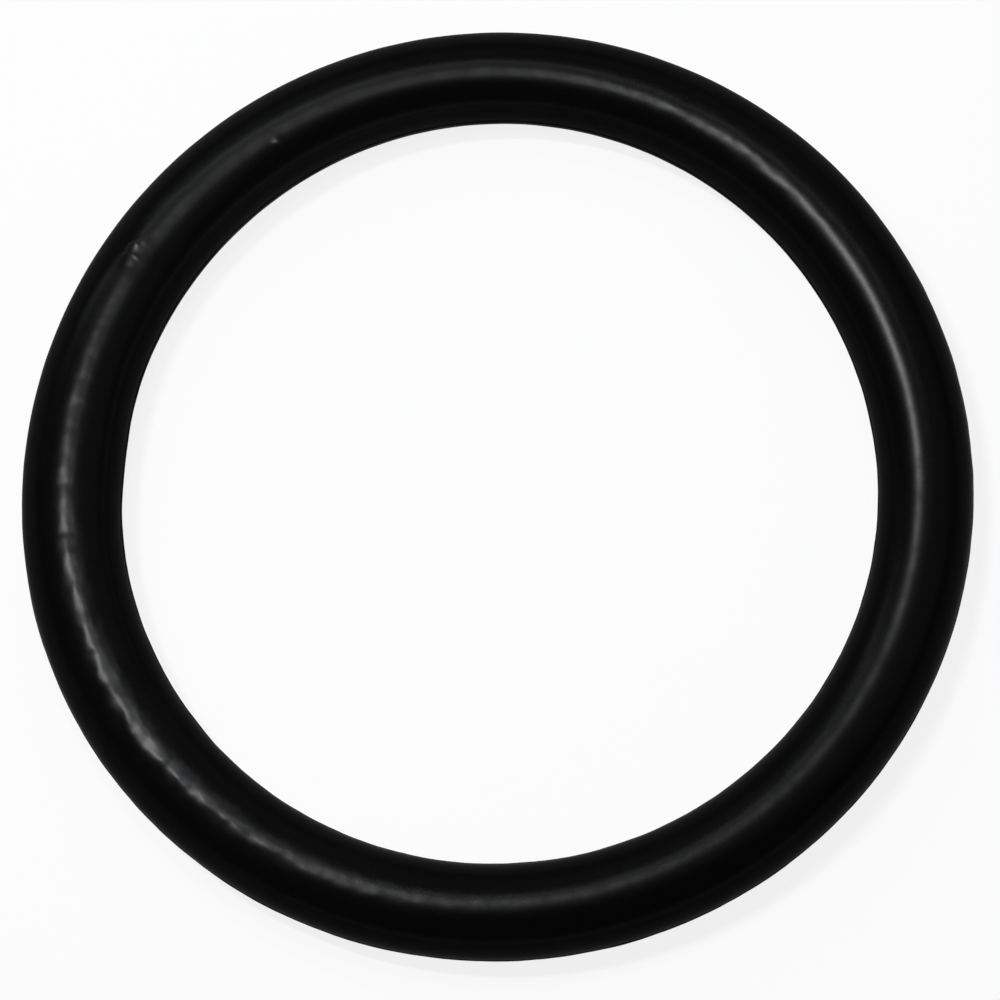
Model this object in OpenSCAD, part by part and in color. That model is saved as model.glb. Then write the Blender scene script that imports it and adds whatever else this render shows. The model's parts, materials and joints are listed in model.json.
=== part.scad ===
// Rubber o-ring: one moulded ring of round section that lies flat.
// Sizes are in millimetres. The origin is under the middle of the ring, on the surface
// that it lies on, and +Z runs along the ring's axis.

/* [Ring] */
// Inside diameter, across the round section and not across the parting line
inside_d = 28.17; // [20:0.01:60]
// Diameter of the round section
section_d = 3.53; // [1.5:0.01:7]

/* [Parting line] */
// Width of the fin that the two mould halves leave, along the ring's axis
fin_w = 0.16; // [0.06:0.01:0.4]
// Height of the trimmed fin above the round section
fin_h = 0.05; // [0.02:0.01:0.15]

/* [Hidden] */
$fn = 144;
rubber_color = [0.06, 0.06, 0.065];
section_r = section_d / 2;
// Distance from the ring's axis to the middle of its section
middle_r = inside_d / 2 + section_r;

// The moulded section, centred on its own middle, with X away from the ring's axis
module moulded_section() {
    circle(r = section_r);
    // The mould parts at the middle plane, so its fin shows inside and outside the ring
    square([section_d + 2 * fin_h, fin_w], center = true);
}

module o_ring() {
    color(rubber_color)
        rotate_extrude()
            translate([middle_r, section_r])
                moulded_section();
}

o_ring();
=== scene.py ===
# The looks of the rubber o-ring: a moulded black ring with its trimmed parting line, a fine
# grain, a torn dent and scuffed stretches, on a plain pale floor under studio lamps.
import json
import math

import bpy
from mathutils import Matrix, Vector


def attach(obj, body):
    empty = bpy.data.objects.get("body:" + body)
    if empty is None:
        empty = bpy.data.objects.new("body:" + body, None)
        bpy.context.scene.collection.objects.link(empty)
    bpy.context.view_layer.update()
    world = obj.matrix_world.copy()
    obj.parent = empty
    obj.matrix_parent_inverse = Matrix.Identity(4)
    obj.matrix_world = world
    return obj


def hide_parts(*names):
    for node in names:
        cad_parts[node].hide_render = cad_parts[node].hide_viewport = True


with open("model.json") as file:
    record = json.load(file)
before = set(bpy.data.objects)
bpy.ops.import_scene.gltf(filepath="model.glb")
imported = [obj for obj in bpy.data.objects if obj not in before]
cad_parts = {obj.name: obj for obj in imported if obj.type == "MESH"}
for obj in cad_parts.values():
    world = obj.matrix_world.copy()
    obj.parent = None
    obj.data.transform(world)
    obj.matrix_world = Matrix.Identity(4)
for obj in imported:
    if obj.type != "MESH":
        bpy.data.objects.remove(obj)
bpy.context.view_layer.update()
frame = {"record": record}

MM = 0.001
DEGREE = math.pi / 180

# Sizes of the ring, from the record's inside and outside walls, which are its trimmed fin
WALLS = {mount["name"]: mount for mount in frame["record"]["mounts"]}
INSIDE_WALL = WALLS["inside_diameter"]["dims"]["r_mm"] * MM
OUTSIDE_WALL = WALLS["outside_diameter"]["dims"]["r_mm"] * MM
FIN_WIDTH = WALLS["inside_diameter"]["dims"]["length_mm"] * MM
SECTION_RADIUS = WALLS["inside_diameter"]["pos_m"][2]
MIDDLE_RADIUS = (INSIDE_WALL + OUTSIDE_WALL) / 2
FIN_HEIGHT = (OUTSIDE_WALL - INSIDE_WALL) / 2 - SECTION_RADIUS

# Swell, slack and unevenness are shares of the section's radius. The slack thins the section
# all round, and the swell makes it fuller on one stretch.
RING_SIZES = {
    "Middle Radius": MIDDLE_RADIUS,
    "Section Radius": SECTION_RADIUS,
    "Fin Width": FIN_WIDTH,
    "Fin Height": FIN_HEIGHT,
    "Fin Flank": 0.04 * MM,
    "Lobe Height": 0.045 * MM,
    "Swell": 0.065,
    "Slack": -0.014,
    "Unevenness": 0.0075,
    "Ripple Height": 0.006 * MM,
    "Ripple Size": 1.3 * MM,
    "Scuff Height": 0.017 * MM,
    "Scuff Length": 0.7 * MM,
    "Scuff Width": 0.45 * MM,
    "Crumb Height": 0.02 * MM,
    "Crumb Size": 0.3 * MM,
    "Seed": 0.3,
}

# Lobes round the ring, each with how many there are and the turn of one in degrees: those of
# its slow wander, and those of its section's slight unevenness
WANDER_LOBES = (3, 92)
UNEVEN_LOBES = [(1, 76), (3, 28), (4, 39)]

# Stretches of the ring, each with the turn of its middle in degrees and how short it is
FULLER = (190, 3.0)
POLISHED = (123, 8.0)

# The swell's share in the height of the section, and the fin's shares that its trim left,
# from the least to the most, in patches of this size
SWELL_IN_HEIGHT = 0.4
FIN_LEFT = (0.2, 0.8)
TRIM_SIZE = 1.5 * MM

# Marks on the skin, each with its turn round the ring and its tilt round the section in
# degrees, then its length, width and height in mm. A turn of 0 is at +X. A tilt of 0 is at
# the outside of the ring, 90 on its crest and 180 at its inside.
SMOOTH_MARKS = {
    "flat spot": (175, 180, 2.2, 1.3, 0.08),
    "dent lip": (146.2, 77, 0.8, 0.3, 0.05),
    "crease": (147.4, 58, 0.12, 0.4, -0.02),
    "crease lip": (148.9, 50, 0.2, 0.2, 0.015),
}
TORN_MARKS = {
    "end crumb": (148.4, 86, 0.12, 0.1, 0.008),
    "inner crumb": (147.7, 89, 0.11, 0.1, 0.006),
    "outer crumb": (146, 79, 0.17, 0.12, 0.034),
    "right crumb": (145.1, 86, 0.13, 0.1, 0.03),
    "pip": (122.1, 110, 0.15, 0.15, 0.04),
}
DULL_MARKS = {
    "dent": (146, 103, 0.6, 0.4, -0.006),
    "dent end": (149.4, 92, 0.4, 0.5, -0.006),
    "lower rub": (236.4, 94, 0.35, 0.8, -0.006),
    "middle rub": (209.6, 86, 0.3, 0.8, -0.006),
    "upper rub": (198.8, 87, 0.25, 0.8, -0.006),
    "nick": (187.4, 86, 0.15, 0.4, -0.006),
}

# Scuffed stretches of the crest, as marks without a height, each with its share of scuffing
SCUFFED = {
    "lower left": ((214, 90, 11.2, 1.3, 0), 1.0),
    "upper right": ((54, 90, 4.5, 1.3, 0), 0.6),
}

# How finely the ring is meshed. The steps round it are laid in stretches, each with its share
# of them and the angle it spans, so that they are closer at the dent. The steps over its
# section have a share for each fin, one for the top and one for the underside, and each
# fin's share spans this many times the fin's own half width.
RING_STEPS = {"Steps Around": 1100, "Steps Across": 88}
AROUND_STEPS = [(0.37, 143 * DEGREE), (0.06, 8 * DEGREE), (0.57, 209 * DEGREE)]
FIN_STEPS, TOP_STEPS, UNDER_STEPS = 0.1, 0.5, 0.3
FIN_SPAN = 2.8
MERGE_DISTANCE = 0.001 * MM

# The rubber's colour, whole and where it is fully worn
BLACK = (0.0018, 0.0018, 0.0018, 1.0)
WORN_GREY = (0.012, 0.012, 0.0125, 1.0)
WEAR = {"scuffed": 0.1, "torn": 0.5}

# The rubber's sheen where it faces the eye and at the rims, with how far it has turned away
# at the start and at the end of that change. Then the share that each mask adds to it.
SHEEN_TURNS = (0.1, 0.28)
SHEEN_RANGE = (0.16, 0.04)
SHEEN_CHANGES = {"tone": 0.12, "dull": -0.5, "fin": -0.5, "polished": 0.5, "grain": 0.12}

# The rubber's roughness, and what each mask adds to it
ROUGHNESS = 0.4
ROUGHNESS_CHANGES = {"tone": 0.05, "torn": 0.1}
GRAIN_SIZE, TONE_SIZE = 0.12 * MM, 1.1 * MM
GRAIN_HEIGHT = 0.0007 * MM

# The camera's place and aim, in middle radii from the middle of the ring
CAMERA_LENS = 126.9
CAMERA_TILT, CAMERA_TURN = 12.94 * DEGREE, -77.7 * DEGREE
CAMERA_AWAY = 8.25
CAMERA_AIM = (0.0092, -0.0342, 0)

# Each lamp has its place and the turn of its long side in degrees, then its half sizes, its
# radiance and its tint. Places and half sizes are in middle radii.
COOL, PLAIN = (0.96, 0.995, 1.04), (1.0, 1.0, 1.0)
LAMPS = {
    "near_lamp": ((-0.571, 0.415, 3.981), -235.3, (0.215, 0.131), 54, COOL),
    "strip_lamp": ((-2.808, 1.351, 10.69), -100.8, (0.192, 1.017), 272, PLAIN),
    "long_lamp": ((-3.392, 5.481, 8.61), 158.0, (7.79, 0.303), 7.6, COOL),
    "fill_lamp": ((5.514, 2.241, 8.782), 78.3, (5.921, 6.618), 0.29, PLAIN),
    "low_lamp": ((-2.1, 7.7, 4.3), 15.0, (13.0, 2.2), 0.45, COOL),
}
WORLD_LEVEL = 0.04


class Field:
    """A value that varies over a surface. Arithmetic on it adds nodes to its tree."""

    def __init__(self, node, output=0):
        self.tree = node.id_data
        self.socket = node.outputs[output]

    def math(self, operation, *others):
        values = dict(enumerate([self, *others]))
        return Field(add_node(self.tree, "ShaderNodeMath", values, operation=operation))

    def __add__(self, other):
        return self.math("ADD", other)

    def __sub__(self, other):
        return self.math("SUBTRACT", other)

    def __mul__(self, other):
        return self.math("MULTIPLY", other)

    def __truediv__(self, other):
        return self.math("DIVIDE", other)

    def ramp(self, start, end, low=0.0, high=1.0, smooth=False):
        """Goes from low to high as this value goes from start to end, and stays there."""
        kind = "SMOOTHSTEP" if smooth else "LINEAR"
        values = {"Value": self, "From Min": start, "From Max": end, "To Min": low, "To Max": high}
        return Field(add_node(self.tree, "ShaderNodeMapRange", values, interpolation_type=kind))

    def hump(self, width):
        """1 where this value is 0, falling smoothly to nothing at about twice the width."""
        share = self / width
        return (share * share * -1.0).math("EXPONENT")


def add_node(tree, kind, inputs, **settings):
    """Adds a node with these settings, and fills its inputs with fields or plain values."""
    node = tree.nodes.new(kind)
    for name, value in settings.items():
        setattr(node, name, value)
    for key, value in inputs.items():
        if isinstance(value, Field):
            tree.links.new(value.socket, node.inputs[key])
        else:
            node.inputs[key].default_value = value
    return node


def new_group(name, kind, inputs, outputs):
    """A node group with these sockets, each a name and its kind, and the fields given to it."""
    tree = bpy.data.node_groups.new(name, kind)
    for socket, socket_kind in inputs.items():
        tree.interface.new_socket(socket, in_out="INPUT", socket_type="NodeSocket" + socket_kind)
    for socket, socket_kind in outputs.items():
        tree.interface.new_socket(socket, in_out="OUTPUT", socket_type="NodeSocket" + socket_kind)
    given = tree.nodes.new("NodeGroupInput")
    return tree, {socket: Field(given, socket) for socket in inputs}


def vector(x, y, z):
    return Field(add_node(x.tree, "ShaderNodeCombineXYZ", {"X": x, "Y": y, "Z": z}))


def noise(place, size, detail=2.0, seed=0.0):
    """Smooth noise, mostly from -1 to 1, with patches of this size."""
    fineness = size.math("POWER", -1.0) if isinstance(size, Field) else 1.0 / size
    inputs = {"Vector": place, "W": seed, "Scale": fineness, "Detail": detail}
    node = add_node(place.tree, "ShaderNodeTexNoise", inputs, noise_dimensions="4D")
    return (Field(node, "Fac") - 0.5) * 4.0


# The ring's shape

def spaced(share, stretches):
    """Lays stretches end to end, each with its share of the steps and the angle it spans."""
    angle, start = share * 0.0, 0.0
    for steps, turn in stretches:
        angle = angle + share.ramp(start, start + steps, 0.0, turn)
        start += steps
    return angle


def mark_group():
    """A single bump or hollow on the skin, by its place and its size."""
    sizes = ["Around", "Across", "Middle Radius", "Section Radius"]
    sizes += ["Turn", "Tilt", "Length", "Width", "Height"]
    outputs = {"Mask": "Float", "Height": "Float"}
    tree, given = new_group("skin_mark", "GeometryNodeTree", {name: "Float" for name in sizes}, outputs)
    along = (given["Around"] - given["Turn"]) * given["Middle Radius"]
    over = (given["Across"] - given["Tilt"]) * given["Section Radius"]
    mask = along.hump(given["Length"]) * over.hump(given["Width"])
    add_node(tree, "NodeGroupOutput", {"Mask": mask, "Height": mask * given["Height"]})
    return tree


def ring_tree():
    """Geometry nodes that mould the ring: a sheet rolled into a tube, and the tube into a
    ring, with its fin, its slow wander, ripples, scuffs and marks."""
    inputs = {name: "Float" for name in RING_SIZES} | {name: "Int" for name in RING_STEPS}
    inputs["Rubber"] = "Material"
    tree, given = new_group("moulded_ring", "GeometryNodeTree", inputs, {"Mesh": "Geometry"})
    middle, section, seed = given["Middle Radius"], given["Section Radius"], given["Seed"]
    fin_edge = given["Fin Width"] * 0.5
    fin_foot = fin_edge + given["Fin Flank"]

    sheet = add_node(tree, "GeometryNodeMeshGrid", {
        "Size X": 1.0,
        "Size Y": 1.0,
        "Vertices X": given["Steps Around"] + 1.0,
        "Vertices Y": given["Steps Across"] + 1.0,
    })
    place = Field(add_node(tree, "GeometryNodeInputPosition", {}))
    parts = add_node(tree, "ShaderNodeSeparateXYZ", {"Vector": place})
    fin_turn = fin_foot * FIN_SPAN / section
    arc = fin_turn * -1.0 + math.pi
    across_steps = [(FIN_STEPS, fin_turn), (TOP_STEPS, arc), (FIN_STEPS, fin_turn), (UNDER_STEPS, arc)]
    around = spaced(Field(parts, "X") + 0.5, AROUND_STEPS)
    across = spaced(Field(parts, "Y") + 0.5, across_steps) - fin_turn * 0.5
    away, up = across.math("COSINE"), across.math("SINE")

    def on_ring(middle_radius, wide, high, lift):
        """The point on a section of these half sizes, whose middle is lift above the floor."""
        reach = middle_radius + away * wide
        x, y = reach * around.math("COSINE"), reach * around.math("SINE")
        return vector(x, y, up * high + lift)

    def lobes(count, turn):
        """Even waves round the ring, from -1 to 1, with a crest at this turn."""
        return ((around - turn * DEGREE) * count).math("COSINE")

    def stretch(turn, shortness):
        """1 at this turn of the ring, falling smoothly to nothing on both sides."""
        return (((around - turn * DEGREE).math("COSINE") - 1.0) * shortness).math("EXPONENT")

    plain = on_ring(middle, section, section, section)
    scuff_shape = given["Scuff Width"] / given["Scuff Length"]
    unrolled = vector(around * middle * scuff_shape, across * section, 0.0)
    skin_mark = mark_group()

    def mark(turn, tilt, length, width, height):
        """The mask and the height of a mark on the skin."""
        values = {"Around": around, "Across": across, "Middle Radius": middle, "Section Radius": section}
        values |= {"Turn": turn * DEGREE, "Tilt": tilt * DEGREE}
        values |= {"Length": length * MM, "Width": width * MM, "Height": height * MM}
        node = add_node(tree, "GeometryNodeGroup", values, node_tree=skin_mark)
        return Field(node, "Mask"), Field(node, "Height")

    # The slow wander of a soft ring, and the stretch where its section is fuller
    wander = lobes(*WANDER_LOBES) * given["Lobe Height"]
    swell = stretch(*FULLER) * given["Swell"] + given["Slack"]
    for count, turn in UNEVEN_LOBES:
        swell = swell + lobes(count, turn) * given["Unevenness"]

    # The trimmed fin, a little uneven along its length
    fin = (up.math("ABSOLUTE") * section).ramp(fin_edge, fin_foot, 1.0, 0.0, smooth=True)
    trim = noise(plain, TRIM_SIZE, 3.0, seed).ramp(-1.0, 1.0, *FIN_LEFT)
    grown = fin * trim * given["Fin Height"]

    # Ripples all over, the scuffed stretches and the marks
    scuffed, torn, dull = fin * 0.0, fin * 0.0, fin * 0.0
    for sizes, share in SCUFFED.values():
        scuffed = scuffed + mark(*sizes)[0] * share
    grown = grown + noise(plain, given["Ripple Size"], 2.0, seed) * given["Ripple Height"]
    grown = grown + noise(unrolled, given["Scuff Width"], 1.0, seed) * scuffed * given["Scuff Height"]
    for sizes in SMOOTH_MARKS.values():
        grown = grown + mark(*sizes)[1]
    for sizes in TORN_MARKS.values():
        mask, height = mark(*sizes)
        grown, torn = grown + height, torn + mask
    for sizes in DULL_MARKS.values():
        mask, height = mark(*sizes)
        grown, dull = grown + height, dull + mask
    grown = grown + noise(plain, given["Crumb Size"], 3.0, seed) * torn * given["Crumb Height"]

    # The skin's own coordinates and masks, for its material, kept while the sheet is still flat
    kept = {"Geometry": Field(sheet), "Name": "UVMap", "Value": Field(sheet, "UV Map")}
    skin = add_node(tree, "GeometryNodeStoreNamedAttribute", kept, data_type="FLOAT2", domain="CORNER")
    masks = {"scuffed": scuffed, "torn": torn, "dull": dull, "fin": fin, "polished": stretch(*POLISHED)}
    for name, mask in masks.items():
        kept = {"Geometry": Field(skin), "Name": name, "Value": mask}
        skin = add_node(tree, "GeometryNodeStoreNamedAttribute", kept, data_type="FLOAT", domain="POINT")

    # The flat sheet goes to its place on the ring, just clear of the floor, and its edges meet
    middle_height = section * (swell * SWELL_IN_HEIGHT + 1.0)
    wide, high = section * (swell + 1.0) + grown, middle_height + grown
    lift = middle_height + given["Ripple Height"]
    moulded = {"Geometry": Field(skin), "Position": on_ring(middle + wander, wide, high, lift)}
    shape = add_node(tree, "GeometryNodeSetPosition", moulded)
    seams = {"Geometry": Field(shape), "Distance": MERGE_DISTANCE}
    closed = add_node(tree, "GeometryNodeMergeByDistance", seams)
    smooth = add_node(tree, "GeometryNodeSetShadeSmooth", {"Geometry": Field(closed)})
    real = add_node(tree, "GeometryNodeRealizeInstances", {"Geometry": Field(smooth)})
    finish = {"Geometry": Field(real), "Material": given["Rubber"]}
    finished = add_node(tree, "GeometryNodeSetMaterial", finish)
    add_node(tree, "NodeGroupOutput", {"Mesh": Field(finished)})
    return tree


def mesh_from_nodes(name, tree, values):
    """Runs a geometry tree with these values for its inputs and keeps its plain mesh."""
    maker = bpy.data.objects.new(name + "_maker", bpy.data.meshes.new(name + "_maker"))
    bpy.context.scene.collection.objects.link(maker)
    modifier = maker.modifiers.new("nodes", "NODES")
    modifier.node_group = tree
    for socket in tree.interface.items_tree:
        if socket.in_out == "INPUT":
            modifier[socket.identifier] = values[socket.name]
    made = maker.evaluated_get(bpy.context.evaluated_depsgraph_get())
    mesh = bpy.data.meshes.new_from_object(made)
    mesh.name = name
    piece = bpy.data.objects.new(name, mesh)
    bpy.context.scene.collection.objects.link(piece)
    bpy.data.objects.remove(maker)
    return piece


# Materials

def new_material(name):
    material = bpy.data.materials.new(name)
    material.use_nodes = True
    material.node_tree.nodes.clear()
    return material, material.node_tree


def grain_group():
    """The fine grain that the mould leaves on rubber, and the slow change of its tone."""
    inputs = {"Place": "Vector", "Grain Size": "Float", "Tone Size": "Float"}
    outputs = {"Height": "Float", "Tone": "Float"}
    tree, given = new_group("moulded_grain", "ShaderNodeTree", inputs, outputs)
    height = noise(given["Place"], given["Grain Size"], 3.0)
    tone = noise(given["Place"], given["Tone Size"], 4.0)
    add_node(tree, "NodeGroupOutput", {"Height": height, "Tone": tone})
    return tree


def black_rubber():
    """Deep black rubber with a dull sheen on its moulded skin. It is paler where it is scuffed
    or torn, duller where it is rubbed, and a little glossier on one stretch."""
    material, tree = new_material("black_rubber")
    place = Field(add_node(tree, "ShaderNodeTexCoord", {}), "Object")
    sizes = {"Place": place, "Grain Size": GRAIN_SIZE, "Tone Size": TONE_SIZE}
    grain = add_node(tree, "ShaderNodeGroup", sizes, node_tree=grain_group())
    masks = {"grain": Field(grain, "Height"), "tone": Field(grain, "Tone")}
    for name in ("scuffed", "torn", "dull", "fin", "polished"):
        masks[name] = Field(add_node(tree, "ShaderNodeAttribute", {}, attribute_name=name), "Fac")

    wear = masks["scuffed"] * WEAR["scuffed"] + masks["torn"] * WEAR["torn"]
    colours = {0: wear.math("MINIMUM", 1.0), 6: BLACK, 7: WORN_GREY}
    colour = Field(add_node(tree, "ShaderNodeMix", colours, data_type="RGBA"), 2)

    # The skin's sheen fades towards the rims, where the grain stands in its way
    facing = Field(add_node(tree, "ShaderNodeLayerWeight", {"Blend": 0.5}), "Facing")
    sheen = facing.ramp(*SHEEN_TURNS, *SHEEN_RANGE)
    for name, change in SHEEN_CHANGES.items():
        sheen = sheen * (masks[name] * change + 1.0)
    roughness = masks["tone"] * ROUGHNESS_CHANGES["tone"] + masks["torn"] * ROUGHNESS_CHANGES["torn"]

    ground = {"Strength": 1.0, "Distance": GRAIN_HEIGHT, "Height": masks["grain"]}
    surface = add_node(tree, "ShaderNodeBsdfPrincipled", {
        "Base Color": colour,
        "Roughness": roughness + ROUGHNESS,
        "IOR": 1.5,
        "Specular IOR Level": 0.002,
        "Normal": Field(add_node(tree, "ShaderNodeBump", ground)),
        "Coat Weight": sheen,
        "Coat Roughness": 0.26,
        "Coat IOR": 1.5,
    })
    add_node(tree, "ShaderNodeOutputMaterial", {"Surface": Field(surface)})
    return material


def pale_floor():
    """A pale floor that keeps the ring's shadow. Past the ring it shows as plain white."""
    near, far = 1.5 * MIDDLE_RADIUS, 5 * MIDDLE_RADIUS
    white_near, white_far = 0.85, 1.0
    material, tree = new_material("pale_floor")
    paint = Field(add_node(tree, "ShaderNodeBsdfDiffuse", {"Color": (0.96, 0.96, 0.96, 1.0)}))
    white = Field(add_node(tree, "ShaderNodeEmission", {"Color": (1.0, 1.0, 1.0, 1.0)}))
    place = Field(add_node(tree, "ShaderNodeNewGeometry", {}), "Position")
    away = Field(add_node(tree, "ShaderNodeVectorMath", {0: place}, operation="LENGTH"), "Value")
    light = add_node(tree, "ShaderNodeLightPath", {})
    seen = Field(light, "Is Camera Ray") + Field(light, "Is Glossy Ray") + Field(light, "Is Transmission Ray")
    share = away.ramp(near, far, white_near, white_far, smooth=True) * seen
    surface = add_node(tree, "ShaderNodeMixShader", {0: share, 1: paint, 2: white})
    add_node(tree, "ShaderNodeOutputMaterial", {"Surface": Field(surface)})
    return material


# The stage

def stage_floor():
    """A round floor that curves up into a low wall, far outside the ring."""
    middle, reach, wall, bend, sides, turns = 0.1, 0.8, 0.14, 0.05, 8, 96
    profile = [(middle, 0.0)]
    for side in range(sides + 1):
        angle = 90 * DEGREE * side / sides
        profile.append((reach - bend + bend * math.sin(angle), bend - bend * math.cos(angle)))
    profile.append((reach, wall))
    angles = [360 * DEGREE * turn / turns for turn in range(turns)]
    points = [(r * math.cos(a), r * math.sin(a), z) for r, z in profile for a in angles]
    faces = [list(range(turns))]
    for row in range(0, len(points) - turns, turns):
        for turn in range(turns):
            here, after = row + turn, row + (turn + 1) % turns
            faces.append((here, here + turns, after + turns, after))
    mesh = bpy.data.meshes.new("floor")
    mesh.from_pydata(points, [], faces)
    mesh.shade_smooth()
    mesh.materials.append(pale_floor())
    floor = bpy.data.objects.new("floor", mesh)
    bpy.context.scene.collection.objects.link(floor)


def dim_world():
    world = bpy.data.worlds.new("studio")
    world.use_nodes = True
    colour = (WORLD_LEVEL, WORLD_LEVEL, WORLD_LEVEL, 1.0)
    world.node_tree.nodes["Background"].inputs["Color"].default_value = colour
    bpy.context.scene.world = world


def turned(right, top, back):
    """The rotation of an object whose own X, Y and Z axes point these ways."""
    return Matrix((right, top, back)).transposed().to_euler()


def at_ring(place):
    """A place given in middle radii from the middle of the ring."""
    return Vector(place) * MIDDLE_RADIUS + Vector((0, 0, SECTION_RADIUS))


def lamp(name, place, turn, half_sizes, radiance, tint):
    """A rectangular lamp that faces the ring."""
    light = bpy.data.lights.new(name, "AREA")
    light.shape = "RECTANGLE"
    light.size, light.size_y = [2 * half * MIDDLE_RADIUS for half in half_sizes]
    light.energy = radiance * light.size * light.size_y * math.pi
    light.color = tint
    holder = bpy.data.objects.new(name, light)
    holder.location = at_ring(place)
    back = Vector(place).normalized()
    level = Vector((math.cos(turn * DEGREE), math.sin(turn * DEGREE), 0))
    right = (level - back * level.dot(back)).normalized()
    holder.rotation_euler = turned(right, back.cross(right), back)
    holder.visible_camera = False
    bpy.context.scene.collection.objects.link(holder)


def photo_camera():
    """The camera looks down on the ring from nearly above, a little from the front."""
    data = bpy.data.cameras.new("camera")
    data.sensor_width = 36.0
    data.lens = CAMERA_LENS
    data.clip_start = 0.01
    camera = bpy.data.objects.new("camera", data)
    side = math.sin(CAMERA_TILT)
    way = (side * math.cos(CAMERA_TURN), side * math.sin(CAMERA_TURN), math.cos(CAMERA_TILT))
    place = Vector(way) * CAMERA_AWAY
    back = (place - Vector(CAMERA_AIM)).normalized()
    right = Vector((0, 1, 0)).cross(back).normalized()
    camera.location = at_ring(place)
    camera.rotation_euler = turned(right, back.cross(right), back)
    bpy.context.scene.collection.objects.link(camera)
    bpy.context.scene.camera = camera


photo_camera()
stage_floor()
dim_world()
for lamp_name, lamp_values in LAMPS.items():
    lamp(lamp_name, *lamp_values)

ring = mesh_from_nodes("moulded_ring", ring_tree(), RING_SIZES | RING_STEPS | {"Rubber": black_rubber()})
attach(ring, "root")
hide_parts("o_ring")

bpy.context.scene.view_settings.view_transform = "Standard"
